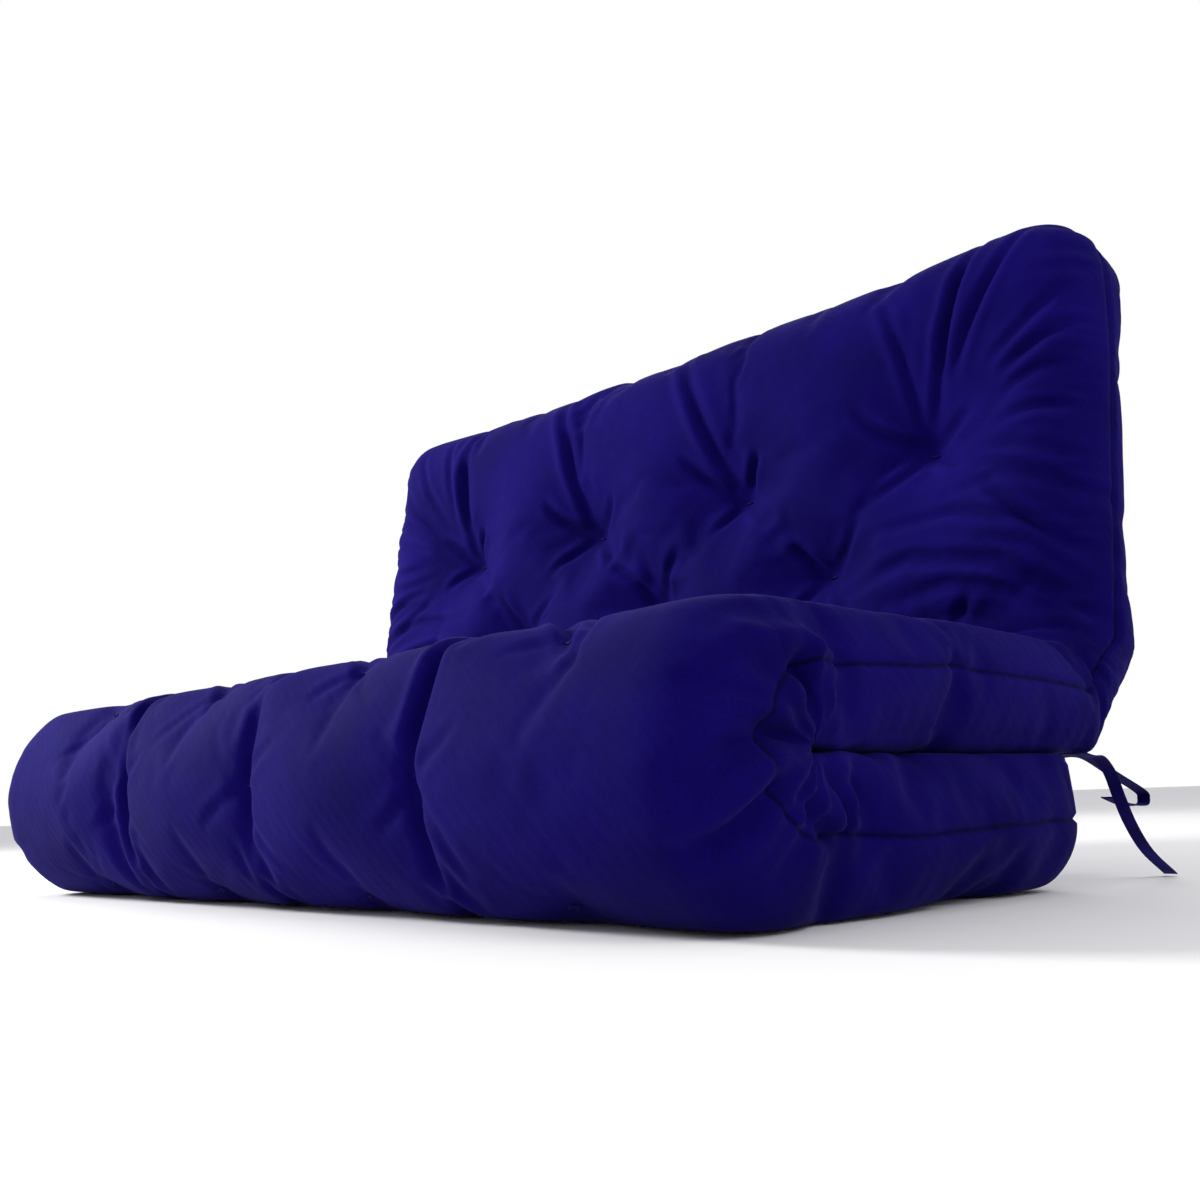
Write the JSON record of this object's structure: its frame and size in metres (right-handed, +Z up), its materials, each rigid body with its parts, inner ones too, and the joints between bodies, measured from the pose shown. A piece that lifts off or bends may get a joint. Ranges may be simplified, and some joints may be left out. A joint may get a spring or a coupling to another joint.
{
  "type": "futon mattress",
  "caption": "Thick tri-fold tufted futon mattress folded as a low sofa: base layer, rolled front, seat layer and upright back, with fabric ties.",
  "frame": {"origin": "centre of the footprint, on the floor", "axes": "+X across the sofa towards its right end seen from the back (the end with the visible tie), front towards -Y, +Z up"},
  "size_m": [1.35, 0.8556, 0.7935],
  "materials": {
    "cotton_twill": "matte deep navy-blue cotton twill",
    "tie_tape": "matte navy-blue cotton tape",
    "tuft_thread": "waxed navy-blue thread",
    "soft_wadding": "fluffy off-white wadding",
    "felt_core": "firm cream felted fibre"
  },
  "bodies": {
    "seat": {"seat_outer_panel": "cotton_twill", "seat_inner_panel": "cotton_twill", "seat_gusset_right": "cotton_twill", "seat_gusset_left": "cotton_twill", "seat_lower_wadding": "soft_wadding", "seat_felt_core": "felt_core", "seat_upper_wadding": "soft_wadding", "seat_tuft_row_03": "tuft_thread", "seat_tuft_row_04": "tuft_thread", "seat_tuft_row_05": "tuft_thread", "seat_tuft_row_06": "tuft_thread", "front_fold_outer_panel": "cotton_twill", "front_fold_inner_panel": "cotton_twill", "front_fold_gusset_right": "cotton_twill", "front_fold_gusset_left": "cotton_twill", "front_fold_lower_wadding": "soft_wadding", "front_fold_felt_core": "felt_core", "front_fold_upper_wadding": "soft_wadding", "front_fold_tuft_row_07": "tuft_thread", "front_fold_tuft_row_08": "tuft_thread", "front_fold_tuft_row_09": "tuft_thread", "back_fold_outer_panel": "cotton_twill", "back_fold_inner_panel": "cotton_twill", "back_fold_gusset_right": "cotton_twill", "back_fold_gusset_left": "cotton_twill", "back_fold_lower_wadding": "soft_wadding", "back_fold_felt_core": "felt_core", "back_fold_upper_wadding": "soft_wadding", "tie_right_tail": "tie_tape", "tie_right_loop": "tie_tape", "tie_left_tail": "tie_tape", "tie_left_loop": "tie_tape"},
    "base": {"base_outer_panel": "cotton_twill", "base_inner_panel": "cotton_twill", "base_gusset_right": "cotton_twill", "base_gusset_left": "cotton_twill", "foot_end_gusset": "cotton_twill", "base_lower_wadding": "soft_wadding", "base_felt_core": "felt_core", "base_upper_wadding": "soft_wadding", "base_tuft_row_10": "tuft_thread", "base_tuft_row_11": "tuft_thread"},
    "back": {"back_outer_panel": "cotton_twill", "back_inner_panel": "cotton_twill", "back_gusset_right": "cotton_twill", "back_gusset_left": "cotton_twill", "head_end_gusset": "cotton_twill", "back_lower_wadding": "soft_wadding", "back_felt_core": "felt_core", "back_upper_wadding": "soft_wadding", "back_tuft_row_01": "tuft_thread", "back_tuft_row_02": "tuft_thread"}
  },
  "joints": [
    {"name": "front_fold", "type": "hinge", "parent": "seat", "child": "base", "pos_m": [0, -0.28784, 0.14], "axis": [-1, 0, 0], "range_deg": [0, 178], "deforming": ["front_fold_outer_panel", "front_fold_inner_panel", "front_fold_gusset_right", "front_fold_gusset_left", "front_fold_lower_wadding", "front_fold_felt_core", "front_fold_upper_wadding", "front_fold_tuft_row_07", "front_fold_tuft_row_08", "front_fold_tuft_row_09"]},
    {"name": "back_fold", "type": "hinge", "parent": "seat", "child": "back", "pos_m": [0, 0.21216, 0.28], "axis": [-1, 0, 0], "range_deg": [-97, 81.5], "deforming": ["back_fold_outer_panel", "back_fold_inner_panel", "back_fold_gusset_right", "back_fold_gusset_left", "back_fold_lower_wadding", "back_fold_felt_core", "back_fold_upper_wadding"]}
  ]
}
